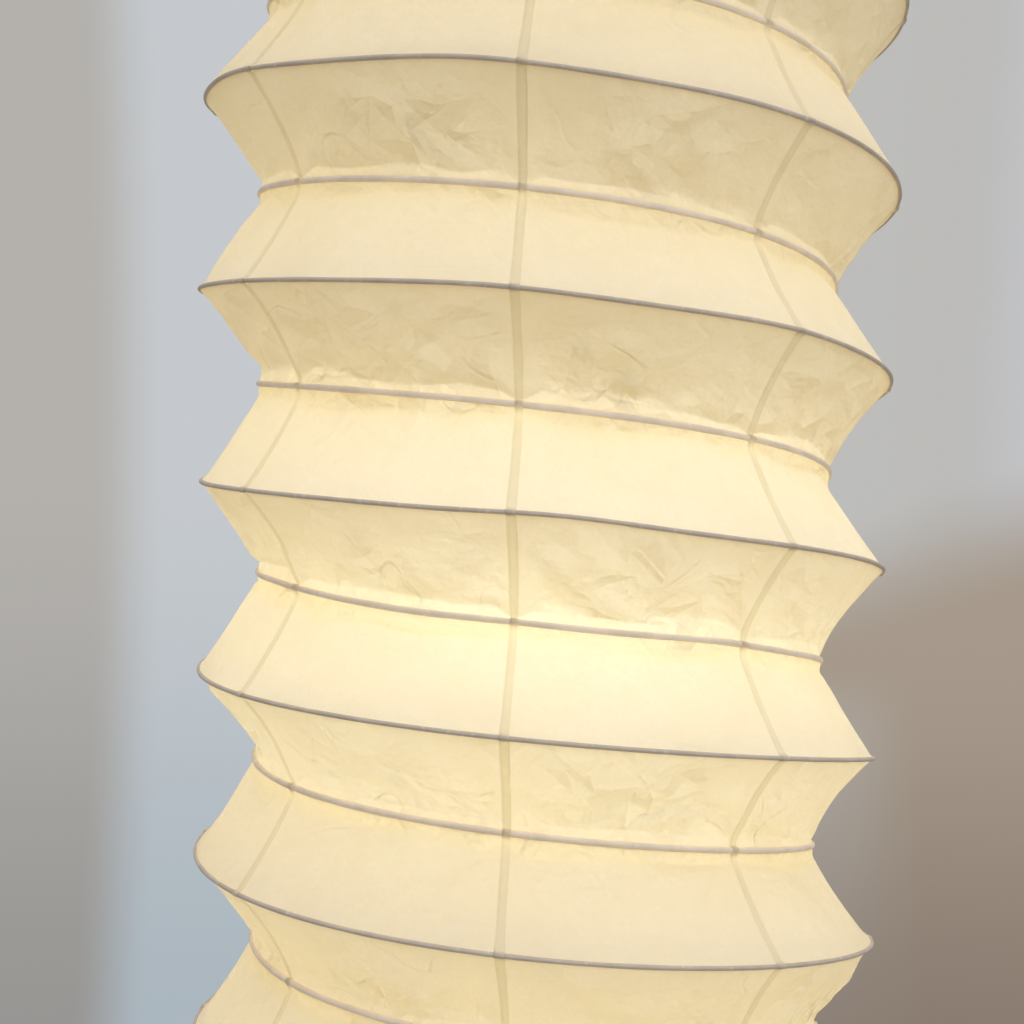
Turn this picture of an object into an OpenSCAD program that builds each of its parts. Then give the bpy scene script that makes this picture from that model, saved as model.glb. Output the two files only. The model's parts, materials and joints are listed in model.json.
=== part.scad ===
// Paper lantern floor lamp: a tall pleated paper column on a four-legged steel stand.
// Units are millimetres. +Z is up and the origin is on the floor, under the pole.

/* [Shade] */
// Radius of the outer fold of the paper
ridge_r = 250; // [220:1:280]
// Radius of the inner fold of the paper
valley_r = 208; // [185:1:215]
// Height that one turn of the spiral climbs
pitch = 135; // [115:1:150]
// Turns of the spiral between the bottom ring and the top ring
turns = 13; // [8:1:14]
// Height of the upright band of paper under each inner fold
band_h = 15; // [9:1:22]
// Height of the bottom ring over the floor
shade_bottom = 150; // [140:1:220]
// Thickness of the paper
paper_t = 0.2; // [0.15:0.05:0.4]
// Width of paper that each gore laps over the next one
lap_w = 8; // [5:1:12]

/* [Wire] */
// Radius of the top and bottom rings, at the middle of their wire
ring_r = 150; // [120:1:165]
// Diameter of the ring wire
ring_d = 4; // [3:0.5:6]
// Diameter of the spiral rib wire
rib_d = 3; // [2:0.25:3.5]
// Thickness of the paper binding round each ring
binding_t = 0.4; // [0.3:0.1:0.8]

/* [Stand] */
// Outer diameter of the pole
pole_d = 16; // [14:1:20]
// Inner diameter of the pole
pole_bore_d = 12; // [8:0.5:12.5]
// Height of the joint between the lower and the upper pole
pole_joint_z = 960; // [850:5:1100]
// Diameter of the base hub
hub_d = 90; // [80:1:110]
// Height of the base hub
hub_h = 26; // [22:1:34]
// Diameter of the leg rod
leg_d = 10; // [8:0.5:12]
// Distance from the pole's axis to where a leg starts to turn down
leg_reach = 190; // [180:1:205]
// Radius of the leg's bend, at the middle of the rod
leg_bend_r = 34; // [25:1:45]
// Thickness of rubber under the leg
sole_t = 4; // [3:0.5:6]
// Outer diameter of the rubber foot
foot_d = 17; // [16:0.5:22]

/* [Spreader] */
// Diameter of the spreader's arm wire
arm_d = 4; // [3:0.5:5]
// Diameter of the spreader's hub
spreader_d = 32; // [30:1:44]
// Diameter of the finial knob
finial_d = 28; // [20:1:36]
// Height of the finial knob
finial_h = 18; // [12:1:30]

/* [Lampholders] */
// Height of the lower bracket arm over the floor
lower_bracket_z = 545; // [480:5:640]
// Height of the upper bracket arm over the floor
upper_bracket_z = 1190; // [1150:5:1400]
// Distance from the pole's axis to the lampholder's axis
holder_offset = 50; // [44:1:60]
// Diameter of the bracket's arm tube
bracket_d = 10; // [9:0.5:12]
// Outer diameter of the lampholder's body
holder_d = 40; // [38:0.5:46]
// Height of the lampholder's body
holder_h = 60; // [56:1:70]
// Diameter of the bulb's glass
bulb_d = 60; // [50:1:70]
// Length of the bulb from the tip of its cap to the top of its glass
bulb_l = 108; // [100:1:120]

/* [Fits] */
// Gap all round between a rod and its hole
slip_gap = 0.05; // [0.03:0.01:0.1]
// Gap between paper and wire, and between pieces that only rest on each other
rest_gap = 0.3; // [0.2:0.05:0.35]

/* [Hidden] */
$fn = 96;
gores = 8;
gore_angle = 360 / gores;
stations = 24;
station_angle = 360 / stations;
shade_top = shade_bottom + turns * pitch;

// Paper: the edge clears the round ring wire although the paper has flat facets.
facet_factor = cos(station_angle / 2);
paper_wall = 1.25 * paper_t;
edge_r = (ring_r + ring_d / 2 + rest_gap) / facet_factor + paper_wall;
ridge_fade = 0.6 * pitch;
valley_fade = 0.5 * pitch;
edge_margin = 0.045 * pitch;
lap_step = paper_wall + rest_gap;
lap_angle = lap_w / ridge_r * 180 / PI;
lap_share = (tan(station_angle / 2) - tan(station_angle / 2 - lap_angle)) / (2 * tan(station_angle / 2));
gore_stations = stations / gores;

// Ribs: each lies inside its fold, deeper in the flat shoulders at the two ends.
rib_r = rib_d / 2;
flank_drop = pitch / 2 - band_h;
fold_half_angle = (atan(pitch / 2 / (ridge_r - valley_r)) + atan(flank_drop / (ridge_r - valley_r))) / 2;
ridge_inset = (rib_r + rest_gap) / sin(fold_half_angle) + paper_wall;
valley_inset = rib_r + rest_gap + paper_wall;
end_inset = 2 * (rib_r + rest_gap) + paper_wall;
rib_sides = 6;
binding_gap = 2 * rest_gap;
binding_r = ring_d / 2 + binding_gap + binding_t;

// Stand: the bottom ring lies in saddles on the legs' level runs.
saddle_wall = 2;
saddle_w = 12;
saddle_l = 14;
leg_r = leg_d / 2;
leg_z = shade_bottom - binding_r - rest_gap - saddle_wall - leg_r;
leg_seat = 16;
hub_z = leg_z - hub_h / 2;
pole_r = pole_d / 2;
pole_seat_z = hub_z + 8;
legs = 4;
first_leg_angle = 45;
leg_drop = leg_z - leg_bend_r - sole_t;
foot_r = leg_reach + leg_bend_r;
foot_h = 30;
screw_d = 5;
screw_l = hub_h / 2 - leg_r - 1;
screw_r = hub_d / 2 - 12;
bush_flange_d = pole_bore_d + 8;
bush_flange_h = 2.5;
bush_bore_d = 7.2;
coupling_d = pole_d + 5;
coupling_h = 54;

// Spreader: the arms pass under the top ring.
arm_r = arm_d / 2;
arm_bend_r = 7;
arm_top_z = shade_top + 12;
arm_tip_z = shade_top - ring_d / 2 - rest_gap - arm_r;
arm_tip_r = ring_r + ring_d / 2;
arm_start_r = 6;
arm_drop = arm_top_z - arm_tip_z - 2 * arm_bend_r;
arm_upright_r = ring_r - binding_r - 4 * rest_gap - arm_r;
pole_top_z = shade_top + 4;
spreader_z = shade_top - 14;
spreader_top_z = arm_top_z + arm_r + 5;
stud_d = 8;
stud_l = 9;
arms = 4;

// Lampholders: the bulbs stand on the front side of the pole, away from the camera's back.
holder_sets = [["lower", lower_bracket_z], ["upper", upper_bracket_z]];
collar_d = pole_d + 11;
collar_h = 18;
elbow_r = 13;
nipple_l = 9;
holder_rise = elbow_r + 5;
holder_wall = 5;
cavity_d = holder_d - 2 * holder_wall;
floor_h = 16;
shell_wall = 0.6;
shell_h = 28;
cap_d = cavity_d - 2 * shell_wall - 4 * slip_gap - 2;
cap_h = 22;
tip_h = 5;
contact_h = 4;
cap_z = floor_h + contact_h + rest_gap;
neck_d = 22;
bracket_screw_l = 12;

// ---- Paper folds -------------------------------------------------------------------------

function smooth_step(x) = let (c = min(max(x, 0), 1)) c * c * (3 - 2 * c);
function end_distance(z) = min(z - shade_bottom, shade_top - z);

// Folds are numbered upwards: 0 the foot of a band, 1 the inner fold over it, 2 the outer fold.
function fold_kind(k) = (k % 3 + 3) % 3;
function fold_drop(k) = [pitch / 2 + band_h, pitch / 2, 0][fold_kind(k)];
function fold_z(k, angle) =
    shade_bottom + floor(k / 3) * pitch - fold_drop(k) - pitch * angle / 360;

// Radius of the paper's outer face at a fold, which runs in to the ring near both ends.
function fold_r(kind, z) =
    let (full = kind == 2 ? ridge_r : valley_r)
    let (run = kind == 2 ? ridge_fade : valley_fade)
    edge_r + (full - edge_r) * smooth_step(end_distance(z) / run);

last_fold = 3 * (turns + 2);
function folds_at(angle) = [
    for (k = [0:last_fold]) if (end_distance(fold_z(k, angle)) > edge_margin) k
];

function last_of(list) = list[len(list) - 1];
function polar(r, angle, z) = [r * cos(angle), r * sin(angle), z];

// A station is [angle, radial step, folds]. A fold past an end is the end's own point.
function station(angle, step) = [angle, step, folds_at(angle)];
function station_point(s, k, inset) =
    let (past_low = k < s[2][0], past_high = k > last_of(s[2]))
    let (z = past_low ? shade_bottom : past_high ? shade_top : fold_z(k, s[0]))
    let (r = past_low || past_high ? edge_r : fold_r(fold_kind(k), z))
    polar(r + s[1] - inset, s[0], z);

// A column is [its lowest fold, its points]. Stations a and b give a column on the line between.
function column(a, b, share, inset) =
    let (low = min(a[2][0], b[2][0]) - 1, high = max(last_of(a[2]), last_of(b[2])) + 1)
    [low, [for (k = [low:high])
        let (p = station_point(a, k, inset), q = station_point(b, k, inset))
        p + share * (q - p)]];

// A gore starts with a strip as wide as the lap. The gore before it ends with the same two
// columns, one step further out, so its lap lies parallel to this strip.
function gore_columns(start, inset) = concat(
    first_strip(start, 0, inset),
    [for (i = [1:gore_stations - 1])
        let (s = station(start + i * station_angle, 0)) column(s, s, 0, inset)],
    first_strip(start + gore_angle, lap_step, inset)
);
function first_strip(angle, step, inset) = [
    for (share = [0, lap_share])
        column(station(angle, step), station(angle + station_angle, step), share, inset)
];

function points_before(list, j) = j == 0 ? 0 : points_before(list, j - 1) + len(list[j - 1][1]);
function fold_point(list, j, k) =
    points_before(list, j) + min(max(k - list[j][0], 0), len(list[j][1]) - 1);

function quad(a, b, c, d) = [
    for (t = [[a, b, c], [a, c, d]]) if (t[0] != t[1] && t[1] != t[2] && t[2] != t[0]) t
];

module paper_gore(start) {
    list = gore_columns(start, 0);
    inner_list = gore_columns(start, paper_wall);
    last = len(list) - 1;
    all = points_before(list, last + 1);
    low = min([for (c = list) c[0]]);
    high = max([for (c = list) c[0] + len(c[1]) - 1]);
    points = concat([for (c = list) each c[1]], [for (c = inner_list) each c[1]]);
    faces = [
        for (j = [0:last - 1]) each [
            for (k = [low:high - 1])
                let (a = fold_point(list, j, k), b = fold_point(list, j, k + 1))
                let (c = fold_point(list, j + 1, k + 1), d = fold_point(list, j + 1, k))
                each concat(quad(a, b, c, d), quad(a + all, d + all, c + all, b + all))
        ],
        for (j = [0:last - 1]) each concat(
            rim_quad(list, j, low, all),
            [for (t = rim_quad(list, j, high, all)) [t[2], t[1], t[0]]]
        ),
        for (k = [low:high - 1]) each concat(
            edge_quad(list, 0, k, all),
            [for (t = edge_quad(list, last, k, all)) [t[2], t[1], t[0]]]
        )
    ];
    polyhedron(points = points, faces = faces);
}

function rim_quad(list, j, k, all) =
    let (a = fold_point(list, j, k), b = fold_point(list, j + 1, k))
    quad(a, b, b + all, a + all);
function edge_quad(list, j, k, all) =
    let (a = fold_point(list, j, k), b = fold_point(list, j, k + 1))
    quad(b, a, a + all, b + all);

// ---- Spiral ribs and rings ---------------------------------------------------------------

// Middle line of a rib: one point at each station, from one ring to the other.
function rib_inset(mid_inset, z) =
    end_inset + (mid_inset - end_inset) * smooth_step(end_distance(z) / pitch);
function rib_line(kind, mid_inset, turn_by) = [
    for (i = [1:stations * turns - 1])
        let (z = shade_bottom + i * pitch / stations)
        polar(fold_r(kind, z) - rib_inset(mid_inset, z), turn_by - i * station_angle, z)
];
outer_line = rib_line(2, ridge_inset, 0);
inner_line = rib_line(1, valley_inset, 180);

// Least gap between neighbouring turns of each rib.
function turn_gap(line) =
    min([for (i = [0:len(line) - 1 - stations]) norm(line[i + stations] - line[i])]) - rib_d;
echo(outer_rib_gap = turn_gap(outer_line), inner_rib_gap = turn_gap(inner_line));

function unit(v) = v / norm(v);
function rib_ring(line, i) =
    let (ahead = line[min(i + 1, len(line) - 1)], behind = line[max(i - 1, 0)])
    let (along = unit(ahead - behind), out = unit([line[i][0], line[i][1], 0]))
    let (up = unit(cross(out, along)), flat = cross(along, up))
    [for (s = [0:rib_sides - 1]) let (a = s * 360 / rib_sides)
        line[i] + rib_r * (cos(a) * flat + sin(a) * up)];

module rib(line) {
    n = rib_sides;
    count = len(line);
    points = [for (i = [0:count - 1]) each rib_ring(line, i)];
    walls = [
        for (i = [0:count - 2]) for (s = [0:n - 1])
            let (t = (s + 1) % n)
            each quad(i * n + s, (i + 1) * n + s, (i + 1) * n + t, i * n + t)
    ];
    start = [for (s = [0:n - 1]) s];
    end = [for (s = [n - 1:-1:0]) (count - 1) * n + s];
    polyhedron(points = points, faces = concat(walls, [start], [end]));
}

module ring(z) {
    translate([0, 0, z])
        rotate_extrude()
            translate([ring_r, 0])
                circle(d = ring_d, $fn = 48);
}

// Half a tube of paper over the free side of a ring.
module binding(z, side) {
    inner = binding_r - binding_t;
    translate([0, 0, z])
        rotate_extrude()
            translate([ring_r, 0])
                intersection() {
                    difference() {
                        circle(r = inner + binding_t, $fn = 48);
                        circle(r = inner, $fn = 48);
                    }
                    translate([-ring_d, side > 0 ? rest_gap : -2 * ring_d - rest_gap])
                        square([2 * ring_d, 2 * ring_d]);
                }
}

// ---- Rods --------------------------------------------------------------------------------

// A round rod that starts along +Z. Each step is [length, turn, bend radius]: it runs straight,
// then turns in the XZ plane, towards +X for a turn over 0.
module bent_rod(r, steps, i = 0) {
    run = steps[i][0];
    turn = abs(steps[i][1]);
    bend = steps[i][2];
    side = steps[i][1] < 0 ? 180 : 0;
    cylinder(r = r, h = run);
    if (turn > 0)
        translate([0, 0, run])
            rotate([0, 0, side]) {
                translate([bend, 0, 0])
                    rotate([90, 0, 0])
                        rotate([0, 0, 180 - turn])
                            rotate_extrude(angle = turn)
                                translate([bend, 0])
                                    circle(r = r, $fn = 48);
                translate([bend - bend * cos(turn), 0, bend * sin(turn)])
                    rotate([0, turn, 0])
                        rotate([0, 0, -side])
                            bent_rod(r, steps, i + 1);
            }
}

// A solid of revolution with its edges rounded by r, as [radius, height] corners.
module turned(outline, r = 0) {
    rotate_extrude()
        intersection() {
            offset(r = r)
                offset(delta = -r)
                    polygon(outline);
            square([1000, 4000]);
        }
}

module round_about(count, first = 0) {
    for (i = [0:count - 1])
        rotate([0, 0, first + i * 360 / count])
            children();
}

// ---- Stand -------------------------------------------------------------------------------

module base_hub() {
    color("#2b2b2d")
        difference() {
            translate([0, 0, hub_z])
                rotate_extrude()
                    polygon([[0, 0], [hub_d / 2 - 3, 0], [hub_d / 2, 3], [hub_d / 2, hub_h - 6],
                        [hub_d / 2 - 6, hub_h], [0, hub_h]]);
            translate([0, 0, pole_seat_z])
                cylinder(r = pole_r + slip_gap, h = hub_h);
            translate([0, 0, hub_z - 1])
                cylinder(d = pole_bore_d, h = hub_h);
            round_about(legs, first_leg_angle) {
                translate([leg_seat, 0, leg_z])
                    rotate([0, 90, 0])
                        cylinder(r = leg_r + slip_gap, h = hub_d);
                translate([screw_r, 0, hub_z - 1])
                    cylinder(d = screw_d + 2 * slip_gap, h = hub_h / 2);
            }
        }
}

// Grub screws in the hub's underside, one against each leg.
module hub_screws() {
    color("#8d8d90")
        round_about(legs, first_leg_angle)
            translate([screw_r, 0, leg_z - leg_r - rest_gap - screw_l])
                difference() {
                    cylinder(d = screw_d, h = screw_l);
                    translate([0, 0, -1])
                        cylinder(d = screw_d / 2, h = 3, $fn = 6);
                }
}

module cable_inlet_bush() {
    color("#1c1c1c")
        difference() {
            union() {
                translate([0, 0, hub_z - bush_flange_h])
                    cylinder(d = bush_flange_d, h = bush_flange_h);
                translate([0, 0, hub_z - 1])
                    cylinder(d = pole_bore_d - 2 * slip_gap, h = pole_seat_z - hub_z + 1);
            }
            translate([0, 0, hub_z - bush_flange_h - 1])
                cylinder(d = bush_bore_d, h = hub_h);
        }
}

module leg(angle) {
    color("#2b2b2d")
        rotate([0, 0, angle])
            translate([leg_seat, 0, leg_z])
                rotate([0, 90, 0])
                    bent_rod(leg_r, [[leg_reach - leg_seat, 90, leg_bend_r], [leg_drop, 0, 0]]);
}

// A rubber cup on the leg's end.
module foot(angle) {
    r = foot_d / 2;
    color("#1c1c1c")
        rotate([0, 0, angle])
            translate([foot_r, 0, 0])
                difference() {
                    rotate_extrude()
                        polygon([[0, 0], [r - 1, 0], [r, 1], [r, 7], [r - 1, 10], [r - 1.5, foot_h], [0, foot_h]]);
                    translate([0, 0, sole_t])
                        cylinder(r = leg_r + slip_gap, h = foot_h);
                }
}

// Steel saddles on the legs, in which the bottom ring lies.
module ring_saddles() {
    top = shade_bottom - rest_gap - binding_t;
    color("#2b2b2d")
        round_about(legs, first_leg_angle)
            difference() {
                translate([ring_r - saddle_l / 2, -saddle_w / 2, leg_z])
                    cube([saddle_l, saddle_w, top - leg_z]);
                translate([ring_r - saddle_l, 0, leg_z])
                    rotate([0, 90, 0])
                        cylinder(r = leg_r + slip_gap, h = 2 * saddle_l);
                rotate([0, 0, -first_leg_angle])
                    translate([0, 0, shade_bottom])
                        rotate_extrude()
                            translate([ring_r, 0])
                                circle(r = binding_r + rest_gap, $fn = 48);
            }
}

module tube(outer_r, inner_r, z0, z1) {
    translate([0, 0, z0])
        difference() {
            cylinder(r = outer_r, h = z1 - z0);
            translate([0, 0, -1])
                cylinder(r = inner_r, h = z1 - z0 + 2);
        }
}

module lower_pole() {
    color("#2b2b2d") tube(pole_r, pole_bore_d / 2, pole_seat_z, pole_joint_z);
}

module upper_pole() {
    color("#2b2b2d") tube(pole_r, pole_bore_d / 2, pole_joint_z + rest_gap, pole_top_z);
}

module pole_coupling() {
    color("#3a3a3c")
        translate([0, 0, pole_joint_z - coupling_h / 2])
            difference() {
                rotate_extrude()
                    polygon([[0, 0], [coupling_d / 2 - 1, 0], [coupling_d / 2, 1],
                        [coupling_d / 2, coupling_h - 1], [coupling_d / 2 - 1, coupling_h], [0, coupling_h]]);
                translate([0, 0, -1])
                    cylinder(r = pole_r + slip_gap, h = coupling_h + 2);
            }
}

// ---- Spreader ----------------------------------------------------------------------------

module spreader_hub() {
    color("#2b2b2d")
        difference() {
            rotate_extrude()
                polygon([[0, spreader_z], [spreader_d / 2 - 2, spreader_z], [spreader_d / 2, spreader_z + 2],
                    [spreader_d / 2, spreader_top_z - 3], [spreader_d / 2 - 3, spreader_top_z],
                    [0, spreader_top_z]]);
            translate([0, 0, spreader_z - 1])
                cylinder(r = pole_r + slip_gap, h = pole_top_z - spreader_z + 1);
            translate([0, 0, spreader_top_z - stud_l])
                cylinder(d = stud_d + 2 * slip_gap, h = stud_l + 1);
            round_about(arms)
                translate([arm_start_r, 0, arm_top_z])
                    rotate([0, 90, 0])
                        cylinder(r = arm_r + slip_gap, h = spreader_d);
        }
}

// A wire arm: level from the hub, down inside the top ring, then out under it.
module spreader_arm(angle) {
    color("#8d8d90")
        rotate([0, 0, angle])
            translate([arm_start_r, 0, arm_top_z])
                rotate([0, 90, 0])
                    bent_rod(arm_r, [
                        [arm_upright_r - arm_bend_r - arm_start_r, 90, arm_bend_r],
                        [arm_drop, -90, arm_bend_r],
                        [arm_tip_r - arm_upright_r - arm_bend_r, 0, 0]
                    ]);
}

module finial_knob() {
    r = finial_d / 2;
    color("#2b2b2d")
        translate([0, 0, spreader_top_z])
            rotate_extrude()
                difference() {
                    union() {
                        translate([0, -stud_l + rest_gap])
                            square([stud_d / 2, stud_l]);
                        intersection() {
                            translate([0, finial_h - r])
                                circle(r = r);
                            square([r, finial_h]);
                        }
                        polygon([[0, 0], [r - 4, 0], [r, 4], [r, finial_h - r > 4 ? finial_h - r : 4], [0, 5]]);
                    }
                    translate([-2 * r, -stud_l])
                        square([2 * r, 2 * finial_h + stud_l]);
                }
}

// ---- Lampholders and bulbs ---------------------------------------------------------------

module at_holder(z) {
    translate([0, -holder_offset, z + holder_rise])
        children();
}

// Clamp collar on the pole with a tube that turns up into the lampholder.
module bracket(z) {
    color("#2b2b2d")
        difference() {
            union() {
                translate([0, 0, z - collar_h / 2])
                    cylinder(d = collar_d, h = collar_h);
                rotate([0, 0, -90])
                    translate([pole_r + 1, 0, z])
                        rotate([0, 90, 0])
                            bent_rod(bracket_d / 2, [
                                [holder_offset - elbow_r - pole_r - 1, -90, elbow_r],
                                [holder_rise - elbow_r + nipple_l, 0, 0]
                            ]);
            }
            translate([0, 0, z - collar_h])
                cylinder(r = pole_r + slip_gap, h = 2 * collar_h);
            translate([0, collar_d / 2 - (collar_d - pole_d) / 2 - 1, z])
                rotate([-90, 0, 0])
                    cylinder(d = screw_d + 2 * slip_gap, h = collar_d);
        }
}

// Thumb screws that clamp the two collars, on their back side.
module bracket_screws() {
    color("#8d8d90")
        for (set = holder_sets)
            translate([0, pole_r + rest_gap, set[1]])
                rotate([-90, 0, 0]) {
                    cylinder(d = screw_d, h = bracket_screw_l);
                    translate([0, 0, (collar_d - pole_d) / 2 + 1])
                        cylinder(d = 2 * screw_d, h = 6);
                }
}

module holder_body(z) {
    color("#1f1f20")
        at_holder(z)
            difference() {
                rotate_extrude()
                    polygon([[0, 0], [bracket_d / 2 + 4, 0], [bracket_d / 2 + 5, 1], [bracket_d / 2 + 5, 7],
                        [holder_d / 2 - 1, 14], [holder_d / 2, 16], [holder_d / 2, holder_h - 12],
                        [holder_d / 2 - 1, holder_h - 11], [holder_d / 2 - 1, holder_h - 2],
                        [holder_d / 2 - 2, holder_h], [0, holder_h]]);
                translate([0, 0, -1])
                    cylinder(r = bracket_d / 2 + slip_gap, h = nipple_l + 1);
                translate([0, 0, floor_h])
                    cylinder(d = cavity_d, h = holder_h);
            }
}

module holder_shell(z) {
    color("#c9a24a")
        at_holder(z)
            translate([0, 0, floor_h])
                difference() {
                    cylinder(r = cavity_d / 2 - slip_gap, h = shell_h);
                    translate([0, 0, -1])
                        cylinder(r = cavity_d / 2 - slip_gap - shell_wall, h = shell_h + 2);
                }
}

module holder_contact(z) {
    color("#c9a24a")
        at_holder(z)
            translate([0, 0, floor_h])
                rotate_extrude()
                    polygon([[0, 0], [7, 0], [7, 1.2], [3, contact_h], [0, contact_h]]);
}

// Screw cap: its threads stand inside the shell, clear of it.
module bulb_cap(z) {
    r = cap_d / 2;
    color("#b9b9bc")
        at_holder(z)
            translate([0, 0, cap_z])
                difference() {
                    rotate_extrude()
                        polygon([[0, 0], [4, 0], [5, 1], [9, tip_h - 1], [r - 1.5, tip_h], [r - 1, tip_h + 1],
                            [r, tip_h + 3], [r - 1, tip_h + 5], [r, tip_h + 7], [r - 1, tip_h + 9],
                            [r, tip_h + 11], [r - 1, tip_h + 13], [r - 0.5, cap_h + tip_h], [0, cap_h + tip_h]]);
                    translate([0, 0, tip_h + 2])
                        cylinder(d = neck_d, h = cap_h);
                }
}

// Pear-shaped glass whose neck stands in the cap.
module bulb_glass(z) {
    r = bulb_d / 2;
    neck_r = neck_d / 2 - slip_gap;
    foot = tip_h + 2;
    centre = bulb_l - r;
    flare_r = 1.6 * r;
    color("#fff3d6")
        at_holder(z)
            translate([0, 0, cap_z])
                rotate_extrude() {
                    translate([0, foot])
                        square([neck_r, cap_h + 2]);
                    intersection() {
                        translate([0, centre])
                            circle(r = r);
                        translate([0, centre - r])
                            square([r, 2 * r]);
                    }
                    polygon([[0, foot + 1], [neck_r, cap_h + tip_h], [neck_r + 1, cap_h + tip_h + 6],
                        [0.58 * r, centre - 0.92 * r], [0.78 * r, centre - 0.62 * r], [0, centre]]);
                }
}

// ---- Draw --------------------------------------------------------------------------------

for (i = [1:gores])
    color("#f4e4b9") paper_gore((i - 1) * gore_angle);
color("#8f8b83") rib(outer_line);  // outer_rib
color("#a79c8f") rib(inner_line);  // inner_rib
color("#8f8b83") ring(shade_top);  // top_ring
color("#8f8b83") ring(shade_bottom);  // bottom_ring
color("#ead8a8") binding(shade_top, 1);  // top_binding
color("#ead8a8") binding(shade_bottom, -1);  // bottom_binding
base_hub();
hub_screws();
cable_inlet_bush();
ring_saddles();
for (i = [1:legs]) {
    leg(first_leg_angle + (i - 1) * 360 / legs);
    foot(first_leg_angle + (i - 1) * 360 / legs);
}
lower_pole();
upper_pole();
pole_coupling();
spreader_hub();
finial_knob();
for (i = [1:arms])
    spreader_arm((i - 1) * 360 / arms);
bracket_screws();
for (set = holder_sets) {
    bracket(set[1]);
    holder_body(set[1]);
    holder_shell(set[1]);
    holder_contact(set[1]);
    bulb_cap(set[1]);
    bulb_glass(set[1]);
}
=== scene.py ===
# %% [markdown]
# # A paper lantern floor lamp
# The real object is a tall column of thin pale paper on a slim steel stand. Two wire ribs climb it
# as spirals and fold the paper into pleats, and bulbs on the pole light it from inside.
# The solids already hold every size and joint, so this lesson only dresses them: it swaps the
# facetted paper and wires for finer ones, and gives each part a finish.

# %% Load the solids
import json
import math
import bmesh
import bpy
import numpy as np
from mathutils import Matrix, Vector
from mathutils.bvhtree import BVHTree
from mathutils.geometry import delaunay_2d_cdt


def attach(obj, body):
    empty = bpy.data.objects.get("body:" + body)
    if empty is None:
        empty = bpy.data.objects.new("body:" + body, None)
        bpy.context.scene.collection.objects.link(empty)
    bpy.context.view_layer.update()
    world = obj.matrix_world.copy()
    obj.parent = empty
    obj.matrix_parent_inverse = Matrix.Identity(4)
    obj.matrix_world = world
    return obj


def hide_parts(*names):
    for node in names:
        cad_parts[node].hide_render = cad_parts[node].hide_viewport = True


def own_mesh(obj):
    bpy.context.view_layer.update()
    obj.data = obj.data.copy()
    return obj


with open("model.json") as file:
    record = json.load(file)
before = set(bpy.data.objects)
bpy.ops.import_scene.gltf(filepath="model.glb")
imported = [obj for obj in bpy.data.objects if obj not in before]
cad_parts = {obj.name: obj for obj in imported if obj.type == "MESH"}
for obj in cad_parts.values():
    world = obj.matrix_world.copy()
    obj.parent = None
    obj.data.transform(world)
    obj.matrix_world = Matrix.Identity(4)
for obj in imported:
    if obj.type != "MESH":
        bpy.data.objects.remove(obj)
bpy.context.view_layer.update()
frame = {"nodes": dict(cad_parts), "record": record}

nodes = frame["nodes"]

# %% [markdown]
# ## The camera
# The photograph looks at the middle of the lantern from one and a third metres away, almost level.
# Its folds were measured and a camera was fitted to them, which gave a lens of 63 mm, a small turn
# to the side and a tiny roll. Building the camera's axes from these angles is safer than aiming it
# by eye, because every pleat then falls where the picture has it.

# %% Camera
SIDE, yaw, pitch_up, roll = 0.0723, 0.0164, 0.0056, 0.0141
distance, eye_height = 1.3295, 1.3687
FOCAL_PIXELS, PICTURE_PIXELS, SENSOR = 1804.5, 1024, 36
FRAME_SHIFT = 0.04

level_right = Vector((math.cos(yaw), math.sin(yaw), 0))
level_ahead = Vector((-math.sin(yaw), math.cos(yaw), 0))
ahead = math.cos(pitch_up) * level_ahead + math.sin(pitch_up) * Vector((0, 0, 1))
above = -math.sin(pitch_up) * level_ahead + math.cos(pitch_up) * Vector((0, 0, 1))
right = math.cos(roll) * level_right + math.sin(roll) * above
up = math.cos(roll) * above - math.sin(roll) * level_right


def add_to_scene(name, data):
    made = bpy.data.objects.new(name, data)
    bpy.context.collection.objects.link(made)
    return made


camera = add_to_scene("camera", bpy.data.cameras.new("camera"))
bpy.context.scene.camera = camera
camera.data.sensor_width = SENSOR
camera.data.lens = FOCAL_PIXELS / PICTURE_PIXELS * SENSOR
camera.data.shift_y = FRAME_SHIFT
axes = Matrix((right, up, -ahead)).transposed().to_4x4()
place = Matrix.Translation((0, -distance, eye_height)) @ axes
camera.matrix_world = Matrix.Rotation(SIDE, 4, "Z") @ place
print("camera at", [round(v, 3) for v in camera.matrix_world.translation])

# %% [markdown]
# ## The paper's shape in numbers
# All the paper follows one rule: at each angle round the axis, the folds sit at heights that drop
# by one pitch per turn. A row of the paper climbs with the spiral, and each pitch of rows has four
# stretches: the slope that faces up, the upright band under the inner wire, the small ledge over
# that wire, and the slope that faces down. `STRETCH` says which one a row lies in, and `SHARE` how
# far along it. Each row keeps its share, so the corners between stretches stay crisp wherever they
# wander.

# %% Sizes and rows, in metres and turns
OUTER_R, INNER_R, EDGE_R = 0.2486, 0.2068, 0.1536
PITCH, FOOT_Z, TURNS = 0.135, 0.150, 13
HEAD_Z = FOOT_Z + TURNS * PITCH
OUTER_CLOSES, INNER_CLOSES = 0.6 * PITCH, 0.5 * PITCH
LAP = 0.0064
SEAMS = np.radians([0.6, 44.3, 90.7, 135.5, 179.4, 221.45, 269.05, 313.6])
INNER_FOLD = 0.5179
OUTER_WIRE_R, INNER_WIRE_R = 0.00155, 0.0021
OUTER_SUNK = 0.0007


def rows_in(length, *places):
    """Shares of a stretch from distances in millimetres along it."""
    return np.array(places) / length


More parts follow.
